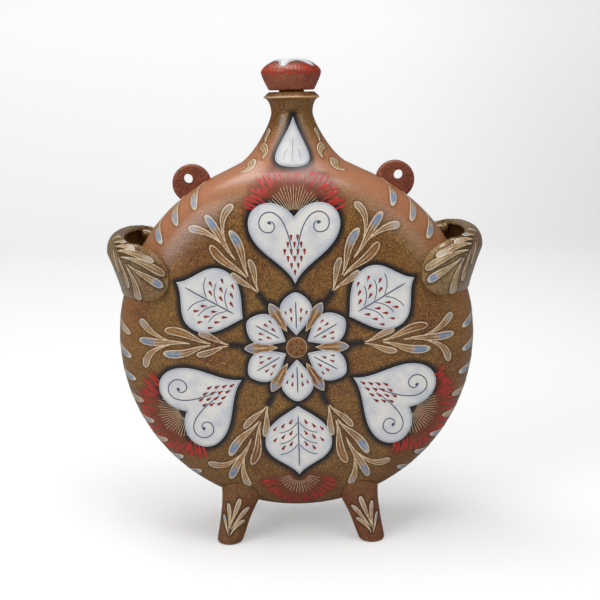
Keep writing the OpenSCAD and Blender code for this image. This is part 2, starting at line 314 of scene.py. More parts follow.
clay_brown = linear(126, 87, 36)
clay_warm = linear(116, 69, 31)
clay_light = linear(172, 130, 60)
clay_dark = linear(40, 28, 12)
# The rim's redder tan, made light enough to also stand for a painted highlight.
rim_tan_and_highlight = linear(192, 126, 94)
rust_red = linear(104, 38, 22)
ink_black = linear(20, 24, 26)


def body_material():
    """Ochre-brown glaze, redder towards the rim, with painted highlight on the upper rim and the lip,
    painted shade towards the foot, and inky shadows round the painting.
    """
    material, tree = new_material("speckled_brown_glaze")
    glaze = speckled(tree, clay_brown, clay_light, clay_dark, clay_warm, 0.85, 0.9)
    spot = node(tree, "SeparateXYZ", {0: node(tree, "TexCoord").outputs["Object"]}).outputs
    up = maths(tree, "SUBTRACT", spot[2], centre_z * MM)
    r = maths(tree, "SQRT", maths(tree, "ADD", maths(tree, "MULTIPLY", spot[0], spot[0]),
        maths(tree, "MULTIPLY", up, up)))
    # Real tint and painted highlight: the rim's band turns tan-red, faintly at the bottom and strongly
    # on the upper rim, where the overhead light falls.
    rim = maths(tree, "MULTIPLY", remap(tree, r, 0.100, 0.122),
        remap(tree, up, -0.03, 0.10, 0.05, 0.6))
    rim = maths(tree, "MULTIPLY", rim, remap(tree, up, 0.150, 0.126))
    # Painted shade: the glaze is darkened towards the foot, where less light reaches it.
    low = remap(tree, up, -0.125, -0.02, 0.82, 1.0)
    colour = mix(tree, 1.0, glaze["Colour"],
        node(tree, "CombineColor", {0: low, 1: low, 2: low}).outputs[0], "MULTIPLY")
    colour = mix(tree, rim, colour, rim_tan_and_highlight)
    rust = node(tree, "Attribute", attribute_name="rust").outputs["Fac"]
    colour = mix(tree, maths(tree, "MULTIPLY", rust, 0.72), colour, rust_red)
    # Painted highlight along the lip's sharp edge, where the glaze also thins: a pale tan line.
    lip_highlight_and_thin_glaze = maths(tree, "MULTIPLY", mask_near(tree, up, (313.4 - centre_z) * MM, 0.0008), 0.7)
    colour = mix(tree, lip_highlight_and_thin_glaze, colour, linear(214, 172, 128))
    ink = node(tree, "Attribute", attribute_name="ink").outputs["Fac"]
    colour = mix(tree, ink, colour, ink_black)
    satin(tree, colour, maths(tree, "MULTIPLY", glaze["Roughness"], 0.85), glaze["Height"],
        0.00022, 0.45)
    return material


brown_glaze = body_material()
section_gap = 1.0
turn_steps = 560
inner_gap = 6.0
outer = even_section(0, seam_angle - 2, section_gap) + even_section(seam_angle - 1.9, seam_angle, 0.2)
inner = even_section(seam_angle + scarf_angle, 0, inner_gap, wall)
for name, side in (("front_shell_glazed", -1), ("back_shell_glazed", 1)):
    bm = turned_wall([(r, side * h) for r, h in outer + inner], turn_steps)
    for edge in bm.edges:
        r = max(hypot(v.co.x, v.co.z - centre_z * MM) for v in edge.verts) / MM
        edge.smooth = r < outer[-1][0] - 0.05 or abs(edge.verts[0].co.y - edge.verts[1].co.y) > 0.01 * MM
    shell = add_object(name, smooth_mesh(bm, name), brown_glaze)
    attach(shell, "flask")
    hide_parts(name.replace("_glazed", ""))

throat_r = 17.3
strap = (even_section(seam_angle, seam_angle + 2, 0.2) + even_section(seam_angle + 2.1, 90, section_gap))
strap_inner = even_section(90, seam_angle + scarf_angle, inner_gap, wall)
outer_loop = [(r, h) for r, h in strap] + [(r, -h) for r, h in reversed(strap[:-1])]
inner_loop = [(r, -h) for r, h in reversed(strap_inner)] + [(r, h) for r, h in strap_inner[1:]]
bm = turned_wall(outer_loop + inner_loop + outer_loop[:1], turn_steps)
over_mouth = [face for face in bm.faces if face.verts[0].co.z > centre_z * MM
    and min(hypot(v.co.x, v.co.y) for v in face.verts) < throat_r * MM]
bmesh.ops.delete(bm, geom=over_mouth, context="FACES")
bmesh.ops.bridge_loops(bm, edges=[edge for edge in bm.edges if edge.is_boundary])
bmesh.ops.recalc_face_normals(bm, faces=bm.faces)
for edge in bm.edges:
    edge.smooth = not all(abs(abs(v.co.y) - strap[0][1] * MM) < 0.01 * MM for v in edge.verts)
belt = add_object("belt_glazed", smooth_mesh(bm, "belt_glazed"), brown_glaze)
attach(belt, "flask")
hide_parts("left_belt", "right_belt")


# The painting on the front: slip trailed and brushed on the leather-hard clay, so that each
# petal and leaf stands a little proud. Six motifs ring a rosette, with leaf sprays between.
def bezier(points, u):
    """Place and direction on a chain of curves, three points to each after the first."""
    parts = (len(points) - 1) // 3
    k = min(int(u * parts), parts - 1)
    t = u * parts - k
    a, b, c, d = (Vector(p) for p in points[3 * k:3 * k + 4])
    s = 1 - t
    spot = a * s ** 3 + b * 3 * s * s * t + c * 3 * s * t * t + d * t ** 3
    heading = (b - a) * s * s + (c - b) * 2 * s * t + (d - c) * t * t
    return spot, heading.normalized() if heading.length > 1e-9 else (d - a).normalized()


def comma(u):
    return (0.12 + 0.88 * u ** 1.1) * sqrt(max(0.0, 1 - u ** 7)) * min(1.0, sqrt(u * 30))


def almond(u):
    return sin(pi * u) ** 0.75


def dash(u):
    return (0.35 + 0.65 * u) * sqrt(max(0.0, 1 - u ** 6)) * min(1.0, sqrt(u * 30))


def thread(u):
    return min(1.0, sqrt(max(0.0, u) * 12), sqrt(max(0.0, 1 - u) * 12))


def new_paint():
    bm = bmesh.new()
    for name in ("edge", "along", "across", "tone"):
        bm.verts.layers.float.new(name)
    return bm


def lay(bm, flat, border, place, lift, swell, soft, ridge, tone):
    """Puts flat paint on a surface, thin at its border and swollen inside it."""
    layers = bm.verts.layers.float
    tree = KDTree(len(border))
    for i, p in enumerate(border):
        tree.insert((p.x, p.y, 0), i)
    tree.balance()
    for v, (spot, along, across) in flat.items():
        edge = tree.find((spot.x, spot.y, 0))[2]
        rise = min(1.0, edge / soft)
        rise = rise * rise * (3 - 2 * rise)
        height = lift - 0.12 + swell * rise + ridge * exp(-((edge - 0.45) / 0.35) ** 2)
        v[layers["edge"]] = edge
        v[layers["along"]] = along
        v[layers["across"]] = across
        v[layers["tone"]] = tone
        v.co = place(spot.x, spot.y, height)
    faces = list({face for v in flat for face in v.link_faces})
    facing = 0.0
    for face in faces[::7]:
        face.normal_update()
        spot = flat[face.verts[0]][0]
        facing += face.normal.dot(place(spot.x, spot.y, lift + 1) - place(spot.x, spot.y, lift))
    if facing < 0:
        bmesh.ops.reverse_faces(bm, faces=faces)


def stroke(bm, line, half_width, shape, place, lift=0.0, swell=0.3, soft=0.9, ridge=0.0,
        tone=0.0, long=22, wide=8):
    """A brush stroke along a bent line, as wide as its shape says."""
    grid = bmesh.ops.create_grid(bm, x_segments=long, y_segments=wide, size=0.5)["verts"]
    flat, border = {}, []
    for v in grid:
        u, s = 0.5 - 0.5 * cos(pi * (v.co.x + 0.5)), 2 * v.co.y
        spot, heading = bezier(line, min(1.0, max(0.0, u)))
        spot = spot + Vector((-heading.y, heading.x)) * (half_width * shape(u) * s)
        flat[v] = (spot, u, s)
        if abs(s) > 0.999 or u < 0.0001 or u > 0.9999:
            border.append(spot)
    lay(bm, flat, border, place, lift, swell, soft, ridge, tone)
    return border


def bloom(bm, outline, middle, place, lift=0.0, swell=0.4, soft=1.4, tone=0.0, rings=16):
    """A petal filled in from its outline."""
    grid = bmesh.ops.create_grid(bm, x_segments=len(outline), y_segments=rings,
        size=0.5)["verts"]
    flat = {}
    for v in grid:
        k = round((v.co.x + 0.5) * len(outline)) % len(outline)
        share = 1 - (1 - (v.co.y + 0.5)) ** 1.5
        flat[v] = (middle + (outline[k] - middle) * share, k / len(outline), share)
    lay(bm, flat, outline, place, lift, swell, soft, 0.0, tone)
    return outline


def outline_of(half, count):
    """A closed outline from its right half, mirrored on the left."""
    right = [bezier(half, i / count)[0] for i in range(count + 1)]
    return right + [Vector((-p.x, p.y)) for p in reversed(right[1:-1])]


def turned_place(angle, out, side=-1):
    """Lays paint on a face from a frame that stands out from the middle at an angle."""
    s, c = sin(radians(angle)), cos(radians(angle))

    def place(x, y, lift):
        return face_point(x * c + (y + out) * s, centre_z + (y + out) * c - x * s, lift, side)
    return place


def finish_paint(bm, name, material, body="flask"):
    bmesh.ops.remove_doubles(bm, verts=bm.verts, dist=2e-6)
    made = add_object(name, smooth_mesh(bm, name), material)
    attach(made, body)
    return made


def white_slip_material():
    """Thick white slip with a cool shadow at its edge and fine inked outlines."""
    material, tree = new_material("white_slip")
    edge = node(tree, "Attribute", attribute_name="edge").outputs["Fac"]
    place = node(tree, "TexCoord").outputs["Object"]
    cloud = node(tree, "TexNoise", {"Vector": place, "Scale": 90.0, "Detail": 4.0}).outputs[0]
    pits = node(tree, "TexNoise", {"Vector": place, "Scale": 700.0, "Detail": 2.0}).outputs[0]
    wobble = maths(tree, "MULTIPLY", maths(tree, "SUBTRACT", cloud, 0.5), 0.5)
    shaken = maths(tree, "ADD", edge, wobble)
    colour = mix(tree, remap(tree, cloud, 0.35, 0.7), linear(223, 220, 214), linear(198, 200, 205))
    colour = mix(tree, remap(tree, shaken, 5.0, 0.6, 0.0, 0.45), colour, linear(164, 172, 186))
    colour = mix(tree, remap(tree, pits, 0.68, 0.76, 0.0, 0.4), colour, linear(150, 132, 112))
    colour = mix(tree, maths(tree, "MULTIPLY", mask_near(tree, shaken, 1.25, 0.3), 0.55), colour,
        linear(92, 104, 128))
    colour = mix(tree, remap(tree, shaken, 0.55, 0.25), colour, linear(44, 46, 56))
    rough = remap(tree, cloud, 0.3, 0.7, 0.38, 0.55, "LINEAR")
    satin(tree, colour, rough, pits, 0.00006, 0.35)
    return material


def leaf_material(name, fill, tip, blue, vein_strength=0.6, gloss=1.0):
    """Thin ochre slip inside a trailed cream line, with a paler tip."""
    material, tree = new_material(name)
    glaze = speckled(tree, fill, clay_light, clay_dark, clay_warm, 0.9, 0.5)
    values = {n: node(tree, "Attribute", attribute_name=n).outputs["Fac"]
        for n in ("edge", "along", "across", "tone")}
    grain = node(tree, "TexNoise", {"Vector": node(tree, "TexCoord").outputs["Object"],
        "Scale": 320.0, "Detail": 3.0}).outputs[0]
    worn = remap(tree, grain, 0.36, 0.5, 0.45, 1.0)
    colour = mix(tree, maths(tree, "MULTIPLY", remap(tree, values["along"], 0.55, 0.9),
        values["tone"]), glaze["Colour"], tip)
    dab = maths(tree, "MULTIPLY", mask_near(tree, values["along"], 0.84, 0.13),
        remap(tree, values["tone"], 0.6, 0.75, 0.0, 0.8))
    colour = mix(tree, maths(tree, "MULTIPLY", dab, worn), colour, blue)
    vein = maths(tree, "MULTIPLY", mask_near(tree, values["across"], 0.0, 0.17),
        remap(tree, values["along"], 0.95, 0.6, 0.0, vein_strength))
    colour = mix(tree, maths(tree, "MULTIPLY", vein, worn), colour, cream)
    line = maths(tree, "MULTIPLY", mask_near(tree, values["edge"], 0.42, 0.5), worn)
    colour = mix(tree, line, colour, cream)
    satin(tree, colour, maths(tree, "MULTIPLY", glaze["Roughness"], gloss), glaze["Height"],
        0.00008, 0.45)
    return material


def red_slip_material():
    """Iron-red slip, brushed: brown where it is thin, bright where the brush was full."""
    material, tree = new_material("red_slip")
    values = {n: node(tree, "Attribute", attribute_name=n).outputs["Fac"]
        for n in ("edge", "along", "tone")}
    place = node(tree, "TexCoord").outputs["Object"]
    grain = node(tree, "TexNoise", {"Vector": place, "Scale": 520.0, "Detail": 3.0}).outputs[0]
    full = maths(tree, "ADD", maths(tree, "MULTIPLY", values["along"], 0.35),
        maths(tree, "ADD", maths(tree, "MULTIPLY", values["tone"], 0.75),
        maths(tree, "MULTIPLY", maths(tree, "SUBTRACT", grain, 0.5), 1.3)))
    colour = mix(tree, remap(tree, full, 0.1, 0.85), linear(98, 34, 24), linear(178, 34, 24))
    colour = mix(tree, remap(tree, full, 1.0, 1.5), colour, linear(206, 70, 52))
    thin = maths(tree, "ADD", values["edge"], maths(tree, "MULTIPLY", grain, 0.5))
    colour = mix(tree, remap(tree, thin, 0.65, 0.2), colour, linear(90, 34, 24))
    satin(tree, colour, remap(tree, grain, 0.3, 0.7, 0.3, 0.5, "LINEAR"), grain, 0.00012, 0.25)
    return material


def plain_slip(name, colour, edge_colour, size=1.2):
    """One brushed colour, thinner and darker towards its edge."""
    material, tree = new_material(name)
    edge = node(tree, "Attribute", attribute_name="edge").outputs["Fac"]
    grain = node(tree, "TexNoise", {"Vector": node(tree, "TexCoord").outputs["Object"],
        "Scale": 1000 / size, "Detail": 2.0}).outputs[0]
    thin = maths(tree, "ADD", edge, maths(tree, "MULTIPLY", grain, 0.4))
    mixed = mix(tree, remap(tree, thin, 0.75, 0.25), colour, edge_colour)
    satin(tree, mixed, remap(tree, grain, 0.3, 0.7, 0.32, 0.5, "LINEAR"), grain, 0.00005)
    return material


cream = linear(214, 190, 156)
white_slip = white_slip_material()
ochre_leaf = leaf_material("ochre_leaf", linear(150, 106, 60), linear(176, 172, 160),
    linear(86, 116, 156))
red_slip = red_slip_material()
blue_ink = plain_slip("blue_ink", linear(62, 74, 104), linear(84, 96, 122))

motifs = 6
heart_out = 43.0
heart_half = [(0, 0), (5.5, 15), (28, 21), (31, 39), (33, 56), (12, 62), (0, 46)]
almond_out = 41.0
almond_half = [(0, 0), (8, 6), (24, 12), (23.5, 27), (22.5, 41), (6, 42), (0, 52)]
rosette_r = 38.5
petal_half_width = 11.3
spray_angle = 33.0
heart_outline = outline_of(heart_half, 90)
almond_outline = outline_of(almond_half, 90)
heart_middle = Vector((0, 30))
almond_middle = Vector((0, 26))
ink_lift = 0.40
drop_lift = 0.42


def petal(u):
    """A petal that is widest near its round outer end."""
    return sin(pi * min(1.0, u) ** 1.35) ** 0.7 if u < 0.999 else 0.0


def drop(red, x, y, place, size=1.0, turn=0.0):
    """One red drop, its point towards the middle of the face."""
    s, c = sin(turn), cos(turn)
    line = [(x + d * s, y + d * c) for d in (-1.9 * size, -0.7 * size, 0.6 * size, 1.8 * size)]
    stroke(red, line, 1.15 * size, comma, place, drop_lift, 0.16, 0.5, tone=0.35, long=8, wide=4)


def fan(cream_lines, red, rust, place, lines, spread, start, reach, rng):
    """Strokes that open from a point: trailed cream lines, then thick red ones further out."""
    for j in range(lines):
        side = 2 * j / (lines - 1) - 1
        turn = radians(spread * side)
        far = reach * (1 - 0.2 * abs(side) ** 2) * (0.95 + 0.1 * rng.random())
        bow = 5.0 * side * abs(side)

        def line(low, high, wave=0.0):
            return [(sin(turn) * far * d + bow * d * d + wave * (i % 2), cos(turn) * far * d)
                for i, d in ((i, low + (high - low) * i / 3) for i in range(4))]
        stroke(cream_lines, line(start / far, 0.66), 0.36, thread, place, 0.0, 0.2, 0.3, long=14,
            wide=2)
        for low, high, half_width, tone in ((0.42, 0.7, 0.8, 0.0), (0.6, 0.88, 1.2, 0.45),
                (0.76, 0.98, 1.5, 0.8), (0.86, 1.05, 1.6, 1.0), (0.90, 1.08, 1.5, 0.7)):
            shift, turned = rng.uniform(-0.03, 0.05), turn
            turn += radians(rng.uniform(-1.6, 1.6))
            stroke(red, line(low + shift, high + shift, rng.uniform(-0.9, 0.9)),
                half_width * rng.uniform(0.7, 1.2), dash, place, 0.02 * rng.random(), 0.2, 0.8,
                tone=tone, long=12, wide=4)
            turn = turned
        rust += [place(*line(start / far, 1.0)[i], 0) for i in range(4)]
        rust += [place(*line(0.4, 0.9)[i], 0) for i in range(4)]


def paint_motif(paints, angle, heart, side):
    """A white heart with spirals, or a white leaf with veins, both filled with red drops."""
    white, _, red, blue = paints
    place = turned_place(angle, heart_out if heart else almond_out, side)
    outline = heart_outline if heart else almond_outline
    bloom(white, outline, heart_middle if heart else almond_middle, place)
    if heart:
        for flip in (-1, 1):
            spiral = [(flip * 1.2, 18), (flip * 3, 34), (flip * 7, 48), (flip * 16, 49),
                (flip * 25, 49), (flip * 26, 36), (flip * 17.5, 35.5),
                (flip * 12, 35), (flip * 11.5, 43), (flip * 16.6, 43)]
            stroke(blue, spiral, 0.42, thread, place, ink_lift, 0.12, 0.3, long=80, wide=2)
            stroke(blue, [(flip * 15.2, 41), (flip * 16, 42), (flip * 17, 42.3),
                (flip * 18, 41.8)], 1.1, almond, place, ink_lift, 0.14, 0.4, long=8, wide=4)
        for y, spread in ((8.5, 0), (13.2, 0.5), (17.9, 1), (22.6, 1.5), (27.3, 1), (32, 0.5)):
            for j in range(int(2 * spread) + 1):
                drop(red, (j - spread) * 4.4, y, place, 1.15)
    else:
        stroke(blue, [(0, 7), (0.3, 18), (-0.3, 30), (0, 45)], 0.46, thread, place, ink_lift,
            0.12, 0.3, long=34, wide=2)
        for flip in (-1, 1):
            for y in (12, 20, 28):
                stroke(blue, [(flip * 0.6, y), (flip * 3.5, y + 4.5), (flip * 8, y + 7.5),
                    (flip * 13.5, y + 7.6)], 0.34, thread, place, ink_lift, 0.1, 0.3, long=16,
                    wide=2)
                drop(red, flip * 5.0, y - 0.4, place, 1.15, flip * 0.5)
                drop(red, flip * 10.4, y + 2.4, place, 1.15, flip * 0.6)
                if y < 28:
                    drop(red, flip * 16.0, y + 4.6, place, 1.05, flip * 0.7)


def paint_face(side, name, whole=True):
    """The painting of one face, or only its rosette and sprays; returns what is inked."""
    paints = white, leaves, red, blue = [new_paint() for _ in range(4)]
    deep, thin, rust = [], [], []
    rng = random.Random(7)
    for k in range(motifs):
        angle = 360 / motifs * k
        heart = k % 2 == 0
        if whole:
            paint_motif(paints, angle, heart, side)
            outline = heart_outline if heart else almond_outline
            place = turned_place(angle, heart_out if heart else almond_out, side)
            deep += [place(p.x, p.y, 0) for p in outline]
            if heart:
                fan(leaves, red, rust, turned_place(angle, heart_out + 44, side), 27, 74, 6.0, 34,
                    rng)
            elif k == motifs / 2:
                fan(leaves, red, rust, turned_place(angle, 91, side), 17, 70, 6.0, 25, rng)
        lean = spray_angle if heart else 360 / motifs - spray_angle
        place = turned_place(angle + lean, 0, side)
        way = 1 if heart else -1
        sprays = [
            ([(-0.4, 46), (-1.5, 54), (-6.5, 57), (-7.5, 68)], 3.3, 0.3),
            ([(0.4, 46), (1.5, 54), (6.5, 57), (7.5, 67)], 3.3, 0.5),
            ([(-0.6, 58), (-2, 70), (-9.5, 74), (-7.5, 91)], 4.3, 1.0),
            ([(0.6, 58), (2, 70), (9.5, 74), (8.5, 90)], 4.3, 0.0),
            ([(0, 72), (1.8, 84), (-1.8, 94), (0.6, 108)], 4.0, 0.75),
            ([(-1.4, 86), (-4, 97), (-10, 104), (-19, 103)], 3.7, 0.4),
            ([(1.4, 86), (4, 97), (9, 103), (15, 107)], 3.7, 0.65)]
        for line, half_width, tone in sprays:
            line = [(way * x, y) for x, y in line]
            border = stroke(leaves, line, half_width, comma, place, 0.05 * rng.random(), 0.2, 0.8,
                0.14, tone, 36, 12)
            thin += [place(p.x, p.y, 0) for p in border]
        stem = [(0, 38), (0.3, 50), (-0.3, 62), (0, 78)]
        deep += [place(*bezier(stem, i / 12)[0], 0) for i in range(3)]
        for turn in (0, 180 / motifs):
            place = turned_place(angle + turn, 0, side)
            long = rosette_r if turn == 0 else rosette_r * 0.93
            if turn == 0:
                border = stroke(white, [(0, 8), (0.2, 18), (-0.2, 28), (0, long)], petal_half_width,
                    petal, place, 0.02, 0.4, 1.4, long=32, wide=22)
                stroke(blue, [(0, 13), (0.2, 20), (-0.2, 25), (0, 32)], 0.42, thread, place,
                    ink_lift + 0.02, 0.12, 0.3, long=16, wide=2)
                for flip in (-1, 1):
                    drop(red, flip * 3.1, 19.5, place, 1.0, flip * 0.15)
                    drop(red, flip * 3.4, 25.5, place, 1.0, flip * 0.15)
                    drop(red, flip * 6.9, 24.0, place, 0.85, flip * 0.35)
            else:
                border = stroke(leaves, [(0, 12), (0.2, 20), (-0.2, 28), (0, long)], 4.2, petal,
                    place, 0.0, 0.24, 0.9, 0.12, 0.7, 26, 12)
            deep += [place(p.x, p.y, 0) for p in border]
    middle = turned_place(0, 0, side)
    ring = [Vector((7.6 * sin(i * pi / 30), 7.6 * cos(i * pi / 30))) for i in range(60)]
    bloom(leaves, ring, Vector((0, 0)), middle, 0.05, 0.5, 2.4, 0.0, 12)
    for k in range(7):
        a = k * pi / 3
        x, y = (0, 0) if k == 6 else (4.2 * sin(a), 4.2 * cos(a))
        stroke(red, [(x - 1, y), (x - 0.3, y), (x + 0.3, y), (x + 1, y)], 1.0, almond, middle,
            0.50, 0.16, 0.5, long=8, wide=4)
    finish_paint(white, name + "_white_motifs", white_slip)
    finish_paint(leaves, name + "_ochre_leaves", ochre_leaf)
    finish_paint(red, name + "_red_strokes", red_slip)
    finish_paint(blue, name + "_blue_lines", blue_ink)
    return deep, thin, rust


def near(points):
    tree = KDTree(len(points))
    for i, p in enumerate(points):
        tree.insert(p, i)
    tree.balance()
    return tree


def ink_piece(piece, deep, thin, rust):
    """Ink brushed round the painting, and rust-red under its fans, soaked into the glaze."""
    attributes = piece.data.attributes
    ink = attributes.get("ink") or attributes.new("ink", "FLOAT", "POINT")
    red = attributes.get("rust") or attributes.new("rust", "FLOAT", "POINT")
    for v in piece.data.vertices:
        d = deep.find(v.co)[2] / MM
        strong = 1 - min(1.0, max(0.0, (d - 0.7) / 4.2))
        t = thin.find(v.co)[2] / MM
        weak = 0.45 * (1 - min(1.0, max(0.0, (t - 0.2) / 1.8)))
        ink.data[v.index].value = max(0.97 * strong * strong * (3 - 2 * strong), weak)
        far = rust.find(v.co)[2] / MM
        red.data[v.index].value = 1 - min(1.0, max(0.0, (far - 1.5) / 5.0))


deep, thin, rust = paint_face(-1, "front")
back_deep, back_thin, _ = paint_face(1, "back", whole=False)
trees = [near(points) for points in (deep, thin, rust)]
front_shell = bpy.data.objects["front_shell_glazed"]

# The garland: pairs of comma leaves trailed along the belt, from the neck down both sides,
# with a third leaf on the crest. It stops for the lugs and the handles.
def belt_place(x, y, lift):
    return belt_point(x / body_r * 180 / pi, y, lift)


garland = new_paint()
rng = random.Random(11)
garland_border = []
for way in (-1, 1):
    for start in (62, 80, 98, 172, 190, 208, 226, 244, 262, 280, 298):
        for side in (-1, 1):
            line = [(start, 5 * side), (start + 8, 8 * side), (start + 10, 20 * side),
                (start + 16, 32 * side)]
            border = stroke(garland, [(way * x, y) for x, y in line], 4.1, comma, belt_place, 0.0,
                0.24, 0.8, 0.16, rng.choice((0.45, 0.7, 1.0)), 30, 12)
            garland_border += [belt_place(q.x, q.y, 0) for q in border]
        if start > 90:
            line = [(start - 3, 0), (start + 4, 1.2), (start + 8, -1.2), (start + 14, 0)]
            border = stroke(garland, [(way * x, y) for x, y in line], 3.0, comma, belt_place, 0.0,
                0.24, 0.8, 0.16, 0.9, 30, 12)
            garland_border += [belt_place(q.x, q.y, 0) for q in border]
pale_leaf = leaf_material("pale_leaf", linear(150, 122, 82), linear(196, 190, 178),
    linear(90, 122, 164), 0.8, 0.75)
finish_paint(garland, "belt_garland", pale_leaf)
trees[1] = near(thin + garland_border)
for piece in (front_shell, belt):
    ink_piece(piece, *trees)
ink_piece(bpy.data.objects["back_shell_glazed"], near(back_deep), near(back_thin + garland_border),
    trees[2])


# Two hollow ears of slab clay. Each was pressed on the body with the thumb below and rolled
# inwards at the rim, then painted with leaves that spread from its outer corner.
def clay_copy(names, voxel, passes, dents=0.25, blobs=()):
    """The clay of CAD nodes, melted to one soft skin, with the slight dents of handwork."""
    bm = bmesh.new()
    for name in names:
        bm.from_mesh(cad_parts[name].data)
    bmesh.ops.remove_doubles(bm, verts=bm.verts, dist=1e-5)
    for middle, size in blobs:
        bmesh.ops.create_icosphere(bm, subdivisions=3, radius=MM,
            matrix=Matrix.Translation(Vector(middle) * MM) @ Matrix.Diagonal((*size, 1)))
    mesh = bpy.data.meshes.new("lump")
    bm.to_mesh(mesh)
    bm.free()
    lump = bpy.data.objects.new("lump", mesh)
    scene.collection.objects.link(lump)
    melt = lump.modifiers.new("melt", "REMESH")
    melt.mode = "VOXEL"
    melt.voxel_size = voxel * MM
    graph = bpy.context.evaluated_depsgraph_get()
    melted = bpy.data.meshes.new_from_object(lump.evaluated_get(graph))
    bpy.data.objects.remove(lump)
    bm = bmesh.new()
    bm.from_mesh(melted)
    for _ in range(passes):
        bmesh.ops.smooth_vert(bm, verts=bm.verts, factor=0.5, use_axis_x=True, use_axis_y=True,
            use_axis_z=True)
    bm.normal_update()
    bare = bm.verts.layers.float.new("bare")
    for v in bm.verts:
        around = sum((edge.other_vert(v).co for edge in v.link_edges), Vector()) / len(v.link_edges)
        v[bare] = (v.co - around).dot(v.normal) / (voxel * MM)
        v.co += v.normal * (dents * MM * noise.noise(v.co * 70))
    return bm


def surface_of(piece):
    return BVHTree.FromObject(piece, bpy.context.evaluated_depsgraph_get())


def seen(x, y, surface):
    """The place on a surface that the camera sees at a pixel of its 600 x 600 picture."""
    focal = 600 * lens.lens / lens.sensor_width
    ray = (camera.matrix_world.to_3x3() @ Vector(((x - 300) / focal, (300 - y) / focal, -1)))
    ray.normalize()
    return surface.ray_cast(camera_place, ray)[0] or surface.find_nearest(
        camera_place + ray * 0.66)[0]


def along_surface(surface, pixels, flip_x=1, flip_y=1):
    """A way to lay paint along a bent line, drawn as it is seen, and the line's length."""
    count = 24
    spots = [seen(*bezier(pixels, i / count)[0], surface) for i in range(count + 1)]
    runs = [0.0]
    for before, here in zip(spots, spots[1:]):
        runs.append(runs[-1] + (here - before).length / MM)

    def place(x, y, lift):
        x = min(max(x, 0.0), runs[-1] * 0.9999)
        k = max(i for i in range(count) if runs[i] <= x)
        share = (x - runs[k]) / max(runs[k + 1] - runs[k], 1e-9)
        heading = (spots[min(k + 2, count)] - spots[max(k - 1, 0)]).normalized()
        middle = spots[k].lerp(spots[k + 1], share)
        out = surface.find_nearest(middle)[1]
        side = out.cross(heading).normalized() * (y * MM)
        spot, normal = surface.ray_cast(middle + side + out * 0.004, -out, 0.009)[:2]
        if spot is None or normal.dot(out) < 0.1:
            spot, normal = surface.find_nearest(middle + side)[:2]
        spot = spot + normal * (lift * MM)
        return Vector((flip_x * spot.x, flip_y * spot.y, spot.z))
    return place, runs[-1]


def leaf_on(paint, surface, pixels, half_width, tone, flips=((1, 1),), shape=comma, swell=0.24,
        ridge=0.16, long=30, wide=12):
    """A leaf along a line on a surface, and its mirror images; returns their borders."""
    spots = []
    for flip_x, flip_y in flips:
        place, length = along_surface(surface, pixels, flip_x, flip_y)
        border = stroke(paint, [(length * i / 3, 0) for i in range(4)], half_width, shape, place,
            0.0, swell, 0.8, ridge, tone, long, wide)
        spots += [place(q.x, q.y, 0) for q in border]
    return spots


def glaze_material(name, colours, strength, gloss, coat, size=1.0):
    """A speckled glaze that thins to a pale line where the clay has an edge."""
    material, tree = new_material(name)
    base, light, dark, warm, edge = colours
    glaze = speckled(tree, base, light, dark, warm, size, strength)
    bare = node(tree, "Attribute", attribute_name="bare").outputs["Fac"]
    colour = mix(tree, remap(tree, bare, 0.05, 0.18, 0.0, 0.75), glaze["Colour"], edge)
    ink = node(tree, "Attribute", attribute_name="ink").outputs["Fac"]
    colour = mix(tree, ink, colour, ink_black)
    rough = maths(tree, "MULTIPLY", glaze["Roughness"], gloss)
    satin(tree, colour, rough, glaze["Height"], 0.00012, coat)
    return material


olive_glaze = glaze_material("olive_handle_glaze", (linear(134, 104, 58), linear(176, 150, 92),
    linear(54, 40, 20), linear(120, 78, 44), linear(196, 164, 118)), 0.7, 0.5, 0.9)
everywhere = ((1, 1), (-1, 1), (1, -1), (-1, -1))
handle_leaves = new_paint()
handle_ink = []
left_handle_bm = clay_copy(["left_handle"], 0.8, 14, 0.3,
    [((x, y, z), (6, 4, 4.5)) for y in (-37, 37)
        for x, z in ((-97, 208.5), (-101, 211.5), (-105, 213.8), (-109, 215.2))])
left_handle = add_object("left_handle_pressed", smooth_mesh(left_handle_bm, "left_handle_pressed"),
    olive_glaze)
ear = surface_of(left_handle)
corner_leaves = [
    ([(112.5, 240), (114, 237.5), (117, 236), (121, 236)], 2.2, 0.5),
    ([(113.5, 243), (117, 241), (121, 240.5), (126, 242)], 2.5, 0.75),
    ([(115, 247), (121, 245), (128, 246), (135, 250)], 2.7, 0.5),
    ([(117, 251), (126, 250), (140, 254), (154, 262)], 4.2, 0.6),
    ([(120, 257), (132, 258), (149, 265), (165, 275)], 4.0, 0.1),
    ([(127, 264), (135, 272), (147, 277), (163, 287)], 3.9, 1.0),
    ([(125, 264), (130, 273), (137, 285), (138, 300)], 4.3, 0.5),
    ([(118, 256), (121, 266), (126, 276), (128, 288)], 3.3, 0.3),
    ([(113, 249), (114, 257), (116, 265), (119, 272)], 2.6, 0.2)]
for pixels, half_width, tone in corner_leaves:
    handle_ink += leaf_on(handle_leaves, ear, pixels, half_width, tone, everywhere)
right_bm = bmesh.new()
right_bm.from_mesh(left_handle.data)
bmesh.ops.scale(right_bm, vec=(-1, 1, 1), verts=right_bm.verts)
bmesh.ops.reverse_faces(right_bm, faces=right_bm.faces)
right_handle = add_object("right_handle_pressed", smooth_mesh(right_bm, "right_handle_pressed"),
    olive_glaze)
handle_tree = near(handle_ink)


def ink_round(piece, tree, reach, strength):
    """A thin shadow of ink round what is painted on a piece."""
    ink = piece.data.attributes.new("ink", "FLOAT", "POINT")
    for v in piece.data.vertices:
        share = 1 - min(1.0, tree.find(v.co)[2] / MM / reach)
        ink.data[v.index].value = strength * share * share * (3 - 2 * share)


for piece, replaced in ((left_handle, "left_handle"), (right_handle, "right_handle")):
    ink_round(piece, handle_tree, 2.6, 0.75)
    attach(piece, "flask")
    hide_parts(replaced)
finish_paint(handle_leaves, "handle_leaves", pale_leaf)

